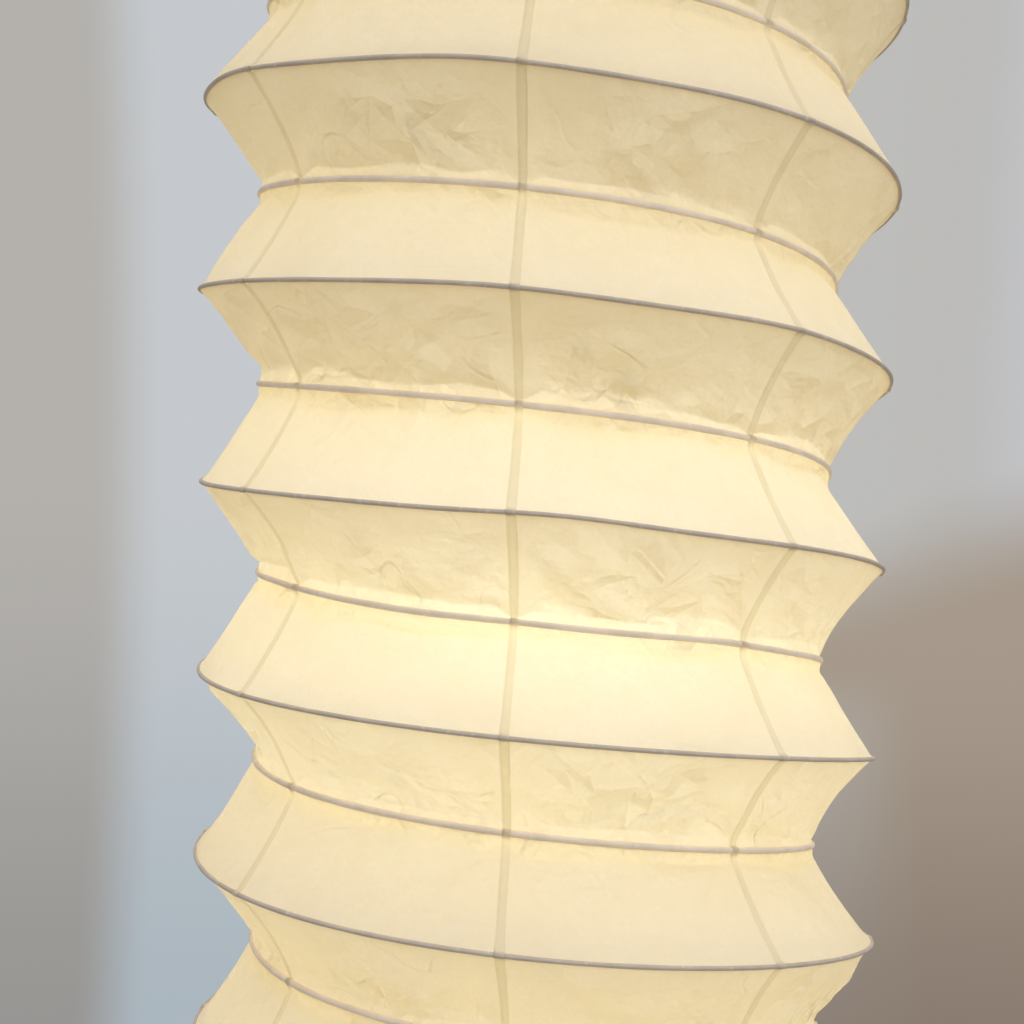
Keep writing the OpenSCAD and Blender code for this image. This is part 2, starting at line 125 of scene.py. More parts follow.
UP_SLOPE = rows_in(60, 0, 0.8, 1.5, 2.4, 4, 6.5, 10, 14, 18, 22, 26, 30, 34, 38, 42, 46, 50, 53.5,
                   56.5, 58.6)
BAND = rows_in(10, 0, 1.5, 4, 7, 9)
LEDGE = rows_in(8, 0, 1.1, 3, 5.4, 7.2)
DOWN_SLOPE = rows_in(58, 0, 0.9, 3, 6, 9.5, 13, 16.5, 20, 23.5, 27, 30.5, 34, 38, 42, 46, 49.5, 52.5,
                     54.6, 55.8, 56.6, 57.3)
SHARE = np.concatenate([UP_SLOPE, BAND, LEDGE, DOWN_SLOPE])
STRETCH = np.repeat(range(4), [len(UP_SLOPE), len(BAND), len(LEDGE), len(DOWN_SLOPE)])
print("rows in a pitch:", len(SHARE))


# %% Rings and ends
def smooth(x):
    x = np.clip(x, 0, 1)
    return x * x * (3 - 2 * x)


def to_end(z):
    return np.minimum(z - FOOT_Z, HEAD_Z - z)


def outer_radius(z):
    return EDGE_R + (OUTER_R - EDGE_R) * smooth(to_end(z) / OUTER_CLOSES)


def inner_radius(z):
    return EDGE_R + (INNER_R - EDGE_R) * smooth(to_end(z) / INNER_CLOSES)


def outer_wire_radius(z):
    return outer_radius(z) - OUTER_SUNK


WIRES = {
    "outer_wire": (0.0, outer_wire_radius, OUTER_WIRE_R),
    "inner_wire": (INNER_FOLD, inner_radius, INNER_WIRE_R),
}
print("radius of both folds at 1 m:", outer_radius(1.0).round(4), inner_radius(1.0).round(4))

# %% [markdown]
# ## A column that leans and bulges a little
# Such a lantern never hangs quite true: its wires tilt, sway and open by a few millimetres. The fit
# found these amounts at six heights of the stretch that the photograph shows. Between them they
# change smoothly, and the rest of the column repeats them more gently. At both ends they fade out,
# because the rings there are stiff. `SAGS` holds the few places where a wire bows up or down between
# two seams.

# %% How the wires wander from the rule
BUMPS = np.array([1.02, 1.17, 1.32, 1.47, 1.62, 1.77])
RISE = np.array([0.0060, 0.0015, -0.0015, -0.0007, -0.0014, -0.0003])
TILT = np.array([0.0002, 0.0006, 0.0045, 0.0054, -0.0079, -0.0016])
SWAY = np.array([0.0, -0.0040, -0.0006, 0.0007, -0.0001, 0.0062])
GIRTH = np.array([-0.0014, -0.0150, -0.0038, 0.0025, 0.0165, 0.0141])
BUMP_REACH, END_REACH = 0.12, 0.10
LOWER_PART, LOWER_SHARE = 0.9, -0.7
SAGS = (((277, 1.394), 0.0026), ((216, 1.689), 0.0030), ((262, 1.671), 0.0019), ((312, 1.517), 0.0017),
        ((266, 1.533), 0.0016), ((308, 1.319), 0.0017), ((212, 1.353), 0.0018), ((251, 1.339), -0.0012),
        ((286, 1.661), -0.0010))
SAG_ANGLE, SAG_HEIGHT = 14, 0.028
across = np.array([math.cos(SIDE), math.sin(SIDE)])
away = np.array([-math.sin(SIDE), math.cos(SIDE)])


def wandered(amounts, z):
    """A fitted amount at each height: near the bumps as seen, lower down gentler and reversed."""
    seen = np.exp(-((z[:, None] - BUMPS) / BUMP_REACH) ** 2) @ amounts
    unseen = np.exp(-((z[:, None] + LOWER_PART - BUMPS) / BUMP_REACH) ** 2) @ amounts
    return (seen + LOWER_SHARE * unseen) * smooth(to_end(z) / END_REACH)


def settle(points):
    """Move points of the true spiral to where the real, uneven column has them."""
    z = points[:, 2]
    a, b = points[:, :2] @ across, points[:, :2] @ away
    wider = 1 + wandered(GIRTH, z)
    z_new = z + wandered(RISE, z) + wandered(TILT, z) * a
    angle = np.degrees(np.arctan2(points[:, 1], points[:, 0])) % 360
    for (angle_there, height), lift in SAGS:
        apart = ((angle - angle_there) / SAG_ANGLE) ** 2 + ((z - height) / SAG_HEIGHT) ** 2
        z_new = z_new + lift * np.exp(-apart)
    flat = np.outer(a * wider + wandered(SWAY, z), across) + np.outer(b * wider, away)
    return np.column_stack([flat, z_new])


print("lean at 1.0 m to 1.8 m:", wandered(SWAY, np.linspace(1.0, 1.8, 5)).round(4))

# %% [markdown]
# ## Crumples
# Paper that is glued to wires never lies flat. Two kinds of unevenness are made here, both from
# seeded random numbers. A broken line gives the ledge's height, the band's height and so on: random
# values at uneven places along the spiral, with straight runs between them, because stiff paper
# makes straight runs. A facet sheet is the same in two directions: random triangles, as in paper
# that was crushed and smoothed again.


# %% Broken lines and facet sheets
SPIRAL_LENGTH = (TURNS + 3) * math.tau * INNER_R
SHEET_WIDTH = 0.07


def broken_line(seed, spacing, low, high):
    rng = np.random.default_rng(seed)
    steps = rng.uniform(0.5, 1.5, int(SPIRAL_LENGTH / spacing * 1.3)) * spacing
    knots = np.cumsum(steps) - 2 * math.tau * INNER_R
    values = rng.uniform(low, high, len(knots))
    return lambda way: np.interp(way, knots, values)


def facet_sheet(seed, cell, depth):
    """Random triangles of about one cell. The result reads the sheet's height at given places."""
    rng = np.random.default_rng(seed)
    long_way = np.arange(-2 * math.tau * INNER_R, SPIRAL_LENGTH, cell)
    short_way = np.arange(-cell, SHEET_WIDTH + 2 * cell, cell)
    grid = np.stack(np.meshgrid(long_way, short_way, indexing="ij"), axis=-1).reshape(-1, 2)
    flat = grid + rng.uniform(-0.42, 0.42, grid.shape) * cell
    heights = rng.normal(0, depth, len(flat))
    corners, _, faces, origin, _, _ = delaunay_2d_cdt([Vector(p) for p in flat], [], [], 0, 1e-7)
    solid = [Vector((c.x, c.y, heights[o[0]])) for c, o in zip(corners, origin)]
    tree = BVHTree.FromPolygons(solid, faces)

    def read(way, along):
        hits = (tree.ray_cast(Vector((w, a, 1)), Vector((0, 0, -1)))[0] for w, a in zip(way, along))
        return np.array([hit.z if hit else 0.0 for hit in hits])
    return read


ledge_line = broken_line(1, 0.026, 0.0035, 0.0085)
tuck_line = broken_line(2, 0.030, 0.0008, 0.0036)
band_line = broken_line(3, 0.034, -0.0010, 0.0055)
dent_line = broken_line(4, 0.045, 0.0008, 0.0024)
busy_line = broken_line(5, 0.080, 0.25, 1.0)
broad_facets = facet_sheet(11, 0.036, 0.0048)
fine_facets = facet_sheet(12, 0.017, 0.0026)
gentle_facets = facet_sheet(13, 0.060, 0.0018)
print("ledge heights, mm:", (ledge_line(np.arange(0, 0.3, 0.05)) * 1000).round(1))

# %% [markdown]
# ## One upright line of the paper
# `upright` follows one angle from the foot of the shade to its head. At a pasted seam the doubled
# strip pulls the slopes inward, and the ledge and the band get low. In the middle of a gore the
# paper is free: the ledge is high, the slopes are flatter and the crumples show. Three shares go
# into the mesh for the finish: `fringe` marks the glue under the outer wire, `worn` the creased
# paper, and the third paints shade onto the band under the inner wire, which makes it yellower.

# %% Shape of one upright line
SEAM_LEDGE, SEAM_BAND = 0.0026, 0.0068
WIRE_FLARE, FLARE_REACH = 0.035, 0.0022
RIDGE_FLARE = 0.025
UP_PULL, DOWN_PULL = 0.0020, 0.0048
FRINGE_REACH, BAND_SHADE_REACH, DENT_REACH = 0.0011, 0.005, 0.010
SLEEVE_GAP = 0.0003
CALM_REACH, FREE_FROM = 0.09, 0.20
SEAM_CORNER, FREE_CORNER = 0.0012, 0.0040


def from_seam(angle):
    """0 on a pasted seam, 1 in the middle of a gore."""
    strips = np.append(SEAMS, SEAMS[0] + math.tau) + LAP / 2 / OUTER_R
    place = np.interp((angle - strips[0]) % math.tau + strips[0], strips, range(len(strips)))
    return 1 - abs(2 * (place % 1) - 1)


def corner(distance, softness):
    """0 above a corner and rising by 1 in 1 under it, with the corner rounded off."""
    return (distance + np.sqrt(distance ** 2 + softness ** 2)) / 2


def upright(angle):
    """Radius, height and phase of every row at one angle, and the finish's three shares."""
    turn = np.repeat(np.arange(TURNS + 2), len(SHARE))
    share, stretch = np.tile(SHARE, TURNS + 2), np.tile(STRETCH, TURNS + 2)
    middle = from_seam(angle)
    free, pull = smooth(middle / FREE_FROM), (1 - middle) ** 2
    way = (turn - angle / math.tau) * math.tau * INNER_R
    ledge = (SEAM_LEDGE + free * ledge_line(way)) / PITCH
    band = (SEAM_BAND + free * band_line(way)) / PITCH
    phase = np.select(
        [stretch == 0, stretch == 1, stretch == 2],
        [share * (INNER_FOLD - band), INNER_FOLD - band * (1 - share), INNER_FOLD + ledge * share],
        INNER_FOLD + ledge + share * (1 - INNER_FOLD - ledge))
    z = FOOT_Z + (turn + phase - angle / math.tau) * PITCH
    inner, outer = inner_radius(z), outer_radius(z)
    calm = smooth(to_end(z) / CALM_REACH)

    under = (INNER_FOLD - band - phase) * PITCH
    softness = SEAM_CORNER + FREE_CORNER * free
    full = corner((INNER_FOLD - band) * PITCH, softness)
    near_wire = np.exp(-phase * PITCH / FLARE_REACH)
    rising = corner(under, softness) / full * (1 - WIRE_FLARE) + WIRE_FLARE * near_wire
    tuck = calm * tuck_line(way) * (0.3 + 0.7 * free)
    dent = calm * dent_line(way) * free
    near_ridge = np.exp((phase - 1) * PITCH / FLARE_REACH)
    falling = share * (1 - RIDGE_FLARE) + RIDGE_FLARE * near_ridge
    radius = np.select(
        [stretch <= 1, stretch == 2],
        [inner + (outer - inner) * rising, inner - tuck * share],
        inner - tuck + (outer - inner + tuck) * falling)
    arch = np.sin(math.pi * share)
    pulled = np.select([stretch == 0, stretch == 3], [UP_PULL * arch, DOWN_PULL * arch ** 0.9], 0)
    radius -= calm * pull * pulled

    loose = calm * (0.25 + 0.75 * free)
    on_down, on_up = np.flatnonzero(stretch == 3), np.flatnonzero(stretch == 0)
    busy = busy_line(way)
    low_down = np.clip(1.15 - share, 0, 1)
    place = share * SHEET_WIDTH
    shift = np.zeros_like(radius)
    shift[on_down] = (smooth(share / 0.08) * smooth((1 - share) / 0.2) * busy * low_down)[on_down] * (
        broad_facets(way[on_down], place[on_down]) + fine_facets(way[on_down], place[on_down]))
    shift[on_up] = (smooth(share / 0.12) * smooth((1 - share) / 0.05))[on_up] * (
        gentle_facets(way[on_up], place[on_up]))
    radius += loose * shift
    fading = np.where(stretch == 0, np.exp(-(under / DENT_REACH) ** 2), 1 - share)
    radius -= np.where(stretch <= 1, dent * fading, 0)
    fringe = np.where(stretch == 3, np.exp((phase - 1) * PITCH / FRINGE_REACH), 0)
    worn_down, worn_up = 0.25 + 0.75 * busy * low_down, 0.15 + 0.35 * share ** 3
    worn = np.select([stretch == 3, stretch == 0], [worn_down, worn_up], 0.7)
    # Painted shade share: full on the band under the inner wire, fading down the slope below it.
    painted_band_shade = np.select([stretch == 1, stretch == 0], [1, np.exp(-(under / BAND_SHADE_REACH) ** 2)], 0)
    return radius, z, phase, (fringe, worn * (0.4 + 0.6 * free), painted_band_shade)


def over_wires(radius, z, phase):
    """Lift the strip over both wires, as a sleeve round each."""
    for fold, centre_at, wire in WIRES.values():
        away_from = ((phase - fold + 0.5) % 1 - 0.5) * PITCH
        sleeve = np.sqrt(np.clip((wire + SLEEVE_GAP) ** 2 - away_from ** 2, 0, None))
        radius = np.where(sleeve > 0, np.maximum(radius, centre_at(z) + sleeve), radius)
    return radius


print("rows in one upright line:", len(upright(0.0)[0]))

# %% [markdown]
# ## One gore of paper
# A gore is an upright strip of paper, about an eighth of the way round: the photograph shows that
# the seams aren't quite evenly spaced. Rows that would pass an end are pressed onto the end line
# and merged. Each gore runs on past its own edge to lap over the next one, a hair further out,
# because on the real lamp the doubled paper of the pasted seam shows as a darker stripe. The strip
# keeps a material slot of its own, and its cut edges waver a little.

# %% Make a gore
LIFT = 0.0004
END_CLEARANCE = 0.002
MERGE_UNDER, SMALLEST_FACE = 0.00004, 1e-10
SHARE_NAMES = ("fringe", "worn", "painted_band_shade")


def gore_columns(panel):
    """Distances round the shade, whether they lie in the strip, and how far its edges waver."""
    places = np.concatenate([
        [LAP - 0.0004, LAP + 0.0012, LAP + 0.0034],
        np.linspace(LAP + 0.0063, panel - 0.0063, 54),
        [panel - 0.003, panel - 0.0009, panel, panel + 0.0003, panel + LAP / 2, panel + LAP],
    ])
    wavering = np.where(places >= panel, 1.0, 0.0)
    wavering[-2:] = (0.0, -1.0)
    return zip(places, places > panel, wavering)


def gore_mesh(name, start, end, seed):
    waver = broken_line(seed, 0.014, -0.0003, 0.0003)
    bm = bmesh.new()
    for share_name in SHARE_NAMES:
        bm.verts.layers.float.new(share_name)
    layers = [bm.verts.layers.float[share_name] for share_name in SHARE_NAMES]
    columns, strips = [], []
    for offset, in_strip, wavering in gore_columns((end - start) * OUTER_R):
        strips.append(in_strip)
        angle = start + offset / OUTER_R
        radius, z, phase, shares = upright(angle)
        inside = (z > FOOT_Z + END_CLEARANCE) & (z < HEAD_Z - END_CLEARANCE)
        if in_strip:
            radius = over_wires(radius, z, phase) + LIFT
        radius = np.where(inside, radius, EDGE_R)
        z = np.clip(np.where(inside, z, np.where(z < 1, FOOT_Z, HEAD_Z)), FOOT_Z, HEAD_Z)
        angles = angle + wavering * waver(z) / OUTER_R
        points = settle(np.column_stack([radius * np.cos(angles), radius * np.sin(angles), z]))
        column = []
        for point, *kept_shares in zip(points.tolist(), *shares):
            vert = bm.verts.new(point)
            for layer, value in zip(layers, kept_shares):
                vert[layer] = value
            column.append(vert)
        columns.append(column)
    for i in range(len(columns) - 1):
        low, high = columns[i], columns[i + 1]
        for j in range(len(low) - 1):
            face = bm.faces.new((low[j], high[j], high[j + 1], low[j + 1]))
            face.smooth = True
            face.material_index = 1 if strips[i + 1] else 0
    bmesh.ops.remove_doubles(bm, verts=bm.verts, dist=MERGE_UNDER)
    slivers = [f for f in bm.faces if f.calc_area() < SMALLEST_FACE]
    bmesh.ops.delete(bm, geom=slivers, context="FACES_ONLY")
    mesh = bpy.data.meshes.new(name)
    bm.to_mesh(mesh)
    bm.free()
    return mesh


# %% Make all the gores
gores = []
for k, start in enumerate(SEAMS):
    name = f"gore_{k + 1}"
    end = SEAMS[k + 1] if k + 1 < len(SEAMS) else SEAMS[0] + math.tau
    gore = add_to_scene(name, gore_mesh(name, start, end, 20 + k))
    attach(gore, "lamp")
    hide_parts(f"paper_gore_{k + 1}")
    gores.append(gore)
print("gores:", len(gores), "faces in all:", sum(len(g.data.polygons) for g in gores))

# %% [markdown]
# ## The wire ribs
# Each rib is one long wire. A swept tube along the fold rule gives a smooth wire where the solid
# has six flat sides. The paper meets each wire near its middle, so both slopes fall away from it
# and nearly its whole thickness shows. The outer wire is sunk a little into its fold. A slow change
# of thickness stands for the glue and paper round each wire.

# %% Sweep a wire along points
RIB_END, POINTS_PER_TURN = 0.006, 160


def swept_tube(name, points, radius, sides=10):
    ahead = np.gradient(points, axis=0)
    ahead /= np.linalg.norm(ahead, axis=1)[:, None]
    out = points * [1, 1, 0]
    out /= np.linalg.norm(out, axis=1)[:, None]
    side = np.cross(out, ahead)
    side /= np.linalg.norm(side, axis=1)[:, None]
    out = np.cross(ahead, side)
    turn = np.arange(sides) * math.tau / sides
    rings = points[:, None] + radius[:, None, None] * (
        np.cos(turn)[None, :, None] * out[:, None] + np.sin(turn)[None, :, None] * side[:, None])
    corners = rings.reshape(-1, 3)
    faces = []
    for i in range(len(points) - 1):
        for s in range(sides):
            t = (s + 1) % sides
            faces.append((i * sides + s, i * sides + t, (i + 1) * sides + t, (i + 1) * sides + s))
    faces += [tuple(range(sides))[::-1], tuple(range(len(corners) - sides, len(corners)))]
    mesh = bpy.data.meshes.new(name)
    mesh.from_pydata(corners.tolist(), [], faces)
    mesh.shade_smooth()
    return mesh


def rib_points(phase, radius_at):
    heights = np.arange(FOOT_Z + RIB_END, HEAD_Z - RIB_END, PITCH / POINTS_PER_TURN)
    angles = (phase - (heights - FOOT_Z) / PITCH) * math.tau
    radii = radius_at(heights)
    return settle(np.stack([radii * np.cos(angles), radii * np.sin(angles), heights], axis=1))


# %% Outer and inner rib
ribs = []
for seed, (name, (phase, radius_at, wire_r)) in enumerate(WIRES.items()):
    points = rib_points(phase, radius_at)
    lumps = broken_line(40 + seed, 0.018, 0.94, 1.08)(np.linspace(0, SPIRAL_LENGTH, len(points)))
    rib = add_to_scene(name, swept_tube(name, points, wire_r * lumps))
    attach(rib, "lamp")
    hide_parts(name.replace("wire", "rib"))
    ribs.append(rib)
print("rib faces:", [len(r.data.polygons) for r in ribs])

# %% [markdown]
# ## Helpers for finishes
# A finish here is a small tree of shader nodes. These helpers make a node, set its inputs and link
# it in one line each, which keeps the recipes below short enough to read.

# %% Node helpers
class Tree:
    """The node tree of a material or of the world."""

    def __init__(self, owner, output, place):
        owner.use_nodes = True
        self.owner, self.tree = owner, owner.node_tree
        self.tree.nodes.clear()
        self.output = self.add(output)
        self.place = self.add("TexCoord").outputs[place]

    def add(self, kind, settings=None, **sockets):
        node = self.tree.nodes.new("ShaderNode" + kind)
        for key, value in (settings or {}).items():
            setattr(node, key, value)
        for key, value in sockets.items():
            self.put(node.inputs[key.replace("_", " ")], value)
        return node

    def put(self, socket, value):
        if isinstance(value, bpy.types.NodeSocket):
            self.tree.links.new(value, socket)
        else:
            socket.default_value = value

    def noise(self, scale, detail=3.0, rough=0.5, place=None):
        return self.add("TexNoise", Vector=place or self.place, Scale=scale, Detail=detail,
                        Roughness=rough).outputs["Fac"]

    def ramp(self, value, low, high, curve="LINEAR"):
        node = self.add("MapRange", {"clamp": True, "interpolation_type": curve}, Value=value)
        node.inputs["From Min"].default_value, node.inputs["From Max"].default_value = low
        node.inputs["To Min"].default_value, node.inputs["To Max"].default_value = high
        return node.outputs["Result"]

    def math(self, operation, a, b=0.0):
        node = self.add("Math", {"operation": operation})
        self.put(node.inputs[0], a)
        self.put(node.inputs[1], b)
        return node.outputs[0]

    def vector(self, operation, *parts):
        node = self.add("VectorMath", {"operation": operation})
        for socket, part in zip(node.inputs, parts):
            self.put(socket, part)
        return node.outputs["Value" if operation in ("LENGTH", "DOT_PRODUCT") else "Vector"]

    def blend(self, share, a, b):
        node = self.add("Mix", {"data_type": "RGBA"})
        self.put(node.inputs[0], share)
        self.put(node.inputs[6], a)
        self.put(node.inputs[7], b)
        return node.outputs[2]

    def attribute(self, name):
        return self.add("Attribute", {"attribute_name": name}).outputs["Fac"]

    def mix_shaders(self, share, a, b):
        node = self.add("MixShader")
        for socket, part in zip(node.inputs, (share, a, b)):
            self.put(socket, part)
        return node.outputs[0]

    def bump(self, height, strength, depth, under=None):
        node = self.add("Bump", Height=height, Strength=strength, Distance=depth)
        if under:
            self.put(node.inputs["Normal"], under)
        return node.outputs["Normal"]

    def stretched(self, x, y, z):
        return self.add("Mapping", Vector=self.place, Scale=(x, y, z)).outputs["Vector"]


def finish(name):
    return Tree(bpy.data.materials.new(name), "OutputMaterial", "Object")


def rgb(r, g, b):
    return (r, g, b, 1.0)


# %% [markdown]
# ## Paper
# Thin paper does two things at once: it throws room light back, and it lets the bulbs' light
# through, yellower. The first is a Principled shader and the second a Translucent one, mixed. Pulp
# clouds and long fibres come from noise. The fold shares that were kept in the mesh say where the
# paper is worn, so that sharp creases show low on the slopes that face down, and where the glue
# beside the outer wire turns the light brown.

# %% Paper finish
def crumpled_normal(f):
    """Flat facets and sharp creases over the mesh's own crumples, then the paper's grain."""
    worn = f.attribute("worn")
    warp = f.add("TexNoise", Vector=f.place, Scale=16.0, Detail=1.0).outputs["Color"]
    warped = f.vector("MULTIPLY_ADD", warp, (0.025, 0.025, 0.025), f.place)
    wrinkles = f.noise(36.0, 3.0, 0.6, f.stretched(1.0, 1.0, 1.4))
    normal = f.bump(wrinkles, worn, 0.0065)
    for scale, depth, turn in ((16.0, 0.0210, (0.6, 0.9, 0.3)), (37.0, 0.0075, (1.1, 0.2, 0.8))):
        turned = f.add("Mapping", Vector=warped, Rotation=turn).outputs["Vector"]
        cells = f.add("TexVoronoi", {"feature": "F1", "distance": "MANHATTAN"}, Vector=turned, Scale=scale)
        patch = f.ramp(f.noise(scale / 3.0, 1.0), (0.40, 0.60), (0.0, 1.0), "SMOOTHSTEP")
        normal = f.bump(cells.outputs["Distance"], f.math("MULTIPLY", worn, patch), depth, normal)
    lines = f.math("ABSOLUTE", f.math("SUBTRACT", f.noise(20.0, 1.0, 0.5, warped), 0.5))
    crease = f.math("MINIMUM", lines, 0.03)
    patch = f.ramp(f.noise(13.0, 1.0), (0.50, 0.60), (0.0, 1.0), "SMOOTHSTEP")
    normal = f.bump(crease, f.math("MULTIPLY", worn, patch), 0.045, normal)
    grain = f.noise(620.0, 4.0, 0.6)
    return f.bump(grain, 0.12, 0.0005, normal)


def paper_finish(name, front, through, share):
    f = finish(name)
    clouds = f.ramp(f.noise(11.0, 4.0, 0.55), (0.32, 0.68), (0.0, 1.0))
    pulp = f.ramp(f.noise(85.0, 5.0, 0.68), (0.36, 0.64), (0.0, 1.0))
    fibre = f.ramp(f.noise(1.0, 6.0, 0.7, f.stretched(430, 430, 130)), (0.46, 0.70), (0.0, 1.0))
    thin, thick = rgb(*through), rgb(through[0] * 0.95, through[1] * 0.91, through[2] * 0.80)
    through_colour = f.blend(f.blend(0.45, clouds, pulp), thick, thin)
    through_colour = f.blend(fibre, through_colour, thick)
    # Painted shade: the band under the inner wire lets through darker, yellower light.
    painted_band_shade = f.math("MULTIPLY", f.attribute("painted_band_shade"), 0.7)
    through_colour = f.blend(painted_band_shade, through_colour, rgb(0.94, 0.77, 0.36))
    fringe = f.attribute("fringe")
    through_colour = f.blend(fringe, through_colour, rgb(0.62, 0.36, 0.14))
    front_colour = f.blend(clouds, rgb(*[c * 0.97 for c in front]), rgb(*front))
    front_colour = f.blend(f.math("MULTIPLY", fringe, 0.6), front_colour, rgb(0.62, 0.50, 0.38))
    normal = crumpled_normal(f)
    sheet = f.add("BsdfPrincipled", Base_Color=front_colour, Roughness=0.62, Normal=normal)
    sheet.inputs["Specular IOR Level"].default_value = 0.35
    glow = f.add("BsdfTranslucent", Color=through_colour, Normal=normal)
    f.put(f.output.inputs["Surface"], f.mix_shaders(share, sheet.outputs[0], glow.outputs[0]))
    return f.owner


paper = paper_finish("paper_sheet", (0.900, 0.872, 0.812), (0.955, 0.836, 0.555), 0.52)
doubled = paper_finish("paper_doubled", (0.86, 0.84, 0.75), (0.83, 0.70, 0.385), 0.50)
for gore in gores:
    gore.data.materials.append(paper)
    gore.data.materials.append(doubled)
print("paper finishes:", paper.name, doubled.name)

# %% [markdown]
# ## Wires, steel, rubber, plastic, brass and glass
# The wires under their paper look grey and matte because no light comes through them. The stand
# is powder-coated steel, whose faint orange-peel bump and uneven roughness stop it looking flat.
# Every other piece gets the same kind of recipe, with its own colour, roughness and grain.

# %% Opaque finishes
def plain_finish(name, colour, darker, rough, metal=0.0, grain=400.0, depth=0.0002, strength=0.2,
                 stretch=None, glow=None, glow_strength=0.0):
    f = finish(name)
    place = f.stretched(*stretch) if stretch else None
    patches = f.ramp(f.noise(14.0, 4.0), (0.35, 0.65), (0.0, 1.0))
    surface = f.noise(grain if not stretch else 1.0, 3.0, 0.6, place)
    shader = f.add("BsdfPrincipled", Base_Color=f.blend(patches, rgb(*darker), rgb(*colour)),
                   Metallic=metal, Roughness=f.ramp(surface, (0.3, 0.7), (rough * 0.85, rough * 1.15)),
                   Normal=f.bump(surface, strength, depth))
    if glow:
        shader.inputs["Emission Color"].default_value = rgb(*glow)
        shader.inputs["Emission Strength"].default_value = glow_strength
    f.put(f.output.inputs["Surface"], shader.outputs[0])
    return f.owner


def wire_finish(name, colour, glue):
    """Paper-wrapped wire: grey, with lumps of glue and short pale and brown stretches."""
    f = finish(name)
    stretches = f.ramp(f.noise(38.0, 3.0, 0.6), (0.40, 0.62), (0.0, 1.0))
    specks = f.ramp(f.noise(240.0, 2.0), (0.60, 0.72), (0.0, 0.5))
    shade = f.blend(stretches, rgb(*[c * 0.88 for c in colour]), rgb(*colour))
    shade = f.blend(specks, shade, rgb(*glue))
    lumps = f.bump(f.noise(330.0, 3.0, 0.6), 0.35, 0.0006)
    shader = f.add("BsdfPrincipled", Base_Color=shade, Roughness=0.55, Normal=lumps)
    f.put(f.output.inputs["Surface"], shader.outputs[0])
    return f.owner


finishes = {
    "rib_wire": plain_finish("bare_wire", (0.46, 0.44, 0.41), (0.38, 0.36, 0.34), 0.55, grain=500),
    "black_steel": plain_finish("powder_coated_steel", (0.035, 0.035, 0.037), (0.024, 0.024, 0.026), 0.42,
                                grain=900, strength=0.3),
    "plated_steel": plain_finish("plated_steel", (0.58, 0.57, 0.56), (0.46, 0.45, 0.44), 0.3, metal=1.0,
                                 stretch=(60, 60, 900)),
    "black_rubber": plain_finish("black_rubber", (0.03, 0.03, 0.03), (0.02, 0.02, 0.02), 0.8, grain=700),
    "holder_plastic": plain_finish("holder_plastic", (0.03, 0.03, 0.032), (0.022, 0.022, 0.024), 0.5,
                                   grain=1200, strength=0.1),
    "contact_brass": plain_finish("contact_brass", (0.75, 0.56, 0.26), (0.6, 0.43, 0.2), 0.32, metal=1.0),
    "bulb_cap_metal": plain_finish("bulb_cap_metal", (0.72, 0.72, 0.73), (0.6, 0.6, 0.62), 0.3, metal=1.0),
    "bulb_glass": plain_finish("frosted_glass", (0.9, 0.86, 0.78), (0.86, 0.8, 0.7), 0.25,
                               glow=(1.0, 0.8, 0.52), glow_strength=0.8),
    "paper": plain_finish("paper_binding", (0.86, 0.80, 0.66), (0.78, 0.71, 0.56), 0.75, grain=600),
}
slots = {entry["node"]: entry["material_slot"] for entry in frame["record"]["subparts"]}
for name, node in nodes.items():
    node.data.materials.clear()
    node.data.materials.append(finishes[slots[name]])
ribs[0].data.materials.append(wire_finish("outer_wire", (0.62, 0.52, 0.41), (0.76, 0.69, 0.58)))
ribs[1].data.materials.append(wire_finish("wrapped_wire", (0.96, 0.82, 0.66), (0.96, 0.87, 0.74)))
print("finishes:", sorted(finishes))

# %% [markdown]
# ## Meshes of their own for the paper and the wires
# The bottom ring can be lifted out of its saddles, and then the pleats close like an accordion.
# Here each gore and each wire only gets a mesh of its own, not shared with any other object.

# %% Give the paper and the wires meshes of their own
for piece in gores + ribs:
    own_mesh(piece)

# %% [markdown]
# ## Floor and background
# The photograph has a plain wall far out of focus. The background is a set of soft colours that
# depend only on the direction of view: warm grey at the far left, bluish white beside the lantern,
# and grey to the right, with a painted shadow low down: a brown blur that darkens further at the
# lower right. Only the camera and reflections see it. The floor fades out before the horizon.

# %% Floor
FLOOR_RADIUS, FADE_START, FADE_END = 6, 2.2, 4.2
floor_mesh = bpy.data.meshes.new("floor")
floor_bm = bmesh.new()
bmesh.ops.create_circle(floor_bm, cap_ends=True, segments=96, radius=FLOOR_RADIUS)
floor_bm.to_mesh(floor_mesh)
floor_bm.free()
floor = add_to_scene("floor", floor_mesh)
f = finish("floor")
fade = f.ramp(f.vector("LENGTH", f.place), (FADE_START, FADE_END), (0.0, 1.0))
soil = f.ramp(f.noise(2.0, 4.0), (0.3, 0.7), (0.0, 1.0))
seen_colour = f.blend(soil, rgb(0.60, 0.60, 0.60), rgb(0.64, 0.64, 0.63))
seen_directly = f.add("LightPath").outputs["Is Camera Ray"]
base = f.add("BsdfPrincipled", Base_Color=f.blend(seen_directly, rgb(0.30, 0.29, 0.27), seen_colour),
             Roughness=0.7)
clear = f.add("BsdfTransparent")
f.put(f.output.inputs["Surface"], f.mix_shaders(fade, base.outputs[0], clear.outputs[0]))
floor_mesh.materials.append(f.owner)
print("floor fades from", FADE_START, "to", FADE_END, "m")

# %% Background
world = bpy.data.worlds.new("room")
bpy.context.scene.world = world
w = Tree(world, "OutputWorld", "Generated")
facing = SIDE + yaw
to_right = w.vector("DOT_PRODUCT", w.place, (math.cos(facing), math.sin(facing), 0))
ahead_share = w.vector("DOT_PRODUCT", w.place, (-math.sin(facing), math.cos(facing), 0))
height = w.add("SeparateXYZ", Vector=w.place).outputs["Z"]


def soft_step(value, start, end):
    return w.ramp(value, (start, end), (0.0, 1.0), "SMOOTHSTEP")


